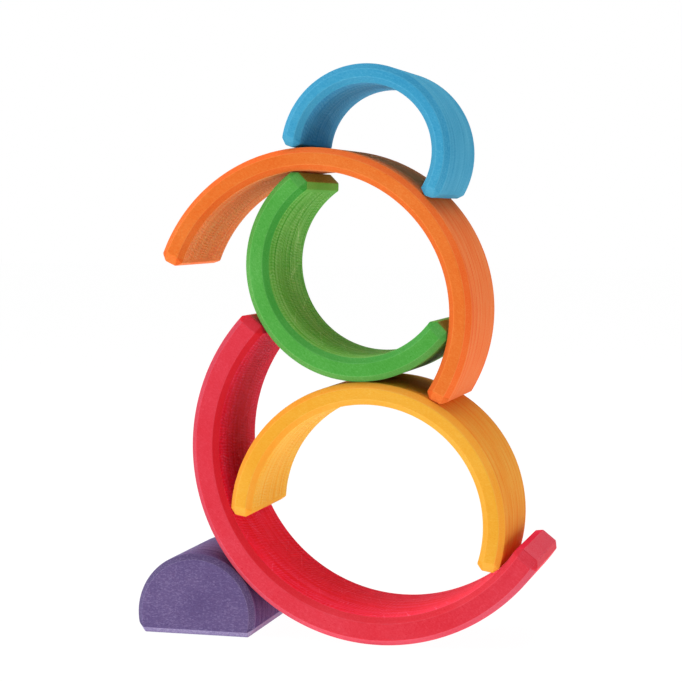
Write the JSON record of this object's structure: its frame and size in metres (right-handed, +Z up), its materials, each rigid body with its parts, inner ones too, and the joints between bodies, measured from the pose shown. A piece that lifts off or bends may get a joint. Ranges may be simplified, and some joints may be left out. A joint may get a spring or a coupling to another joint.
{
  "type": "rainbow stacker",
  "caption": "Wooden rainbow stacking toy: a half-round block and nesting stained arches with bevelled edges, balanced on each other as an open free-standing tower.",
  "frame": {"origin": "on the floor, midway between the leftmost and rightmost points of the stack and midway between its front and back faces", "axes": "+Z up, +X to the right seen from the front, +Y from the front faces to the back faces"},
  "size_m": [0.181, 0.0596, 0.2526],
  "materials": {
    "violet_wood": "matte violet stain, fine grain showing",
    "blue_wood": "matte blue stain, fine grain showing",
    "green_wood": "matte green stain, fine grain showing",
    "yellow_wood": "matte golden yellow stain, fine grain showing",
    "orange_wood": "matte orange stain, fine grain showing",
    "red_wood": "matte red stain, fine grain showing"
  },
  "bodies": {
    "red": {"red": "red_wood"},
    "violet": {"violet": "violet_wood"},
    "yellow": {"yellow": "yellow_wood"},
    "green": {"green": "green_wood"},
    "orange": {"orange": "orange_wood"},
    "blue": {"blue": "blue_wood"}
  },
  "joints": [
    {"name": "violet_pull_out", "type": "slide", "parent": "red", "child": "violet", "axis": [-1, 0, 0], "range_m": [0, 0.1]},
    {"name": "yellow_lift_out", "type": "slide", "parent": "red", "child": "yellow", "axis": [0.5592, 0, 0.829], "range_m": [0, 0.12]},
    {"name": "green_lift_off", "type": "slide", "parent": "yellow", "child": "green", "axis": [0, 0, 1], "range_m": [0, 0.1]},
    {"name": "orange_lift_off", "type": "slide", "parent": "green", "child": "orange", "axis": [0.4375, 0, 0.8992], "range_m": [0, 0.1]},
    {"name": "blue_lift_off", "type": "slide", "parent": "orange", "child": "blue", "axis": [0, 0, 1], "range_m": [0, 0.08]}
  ]
}
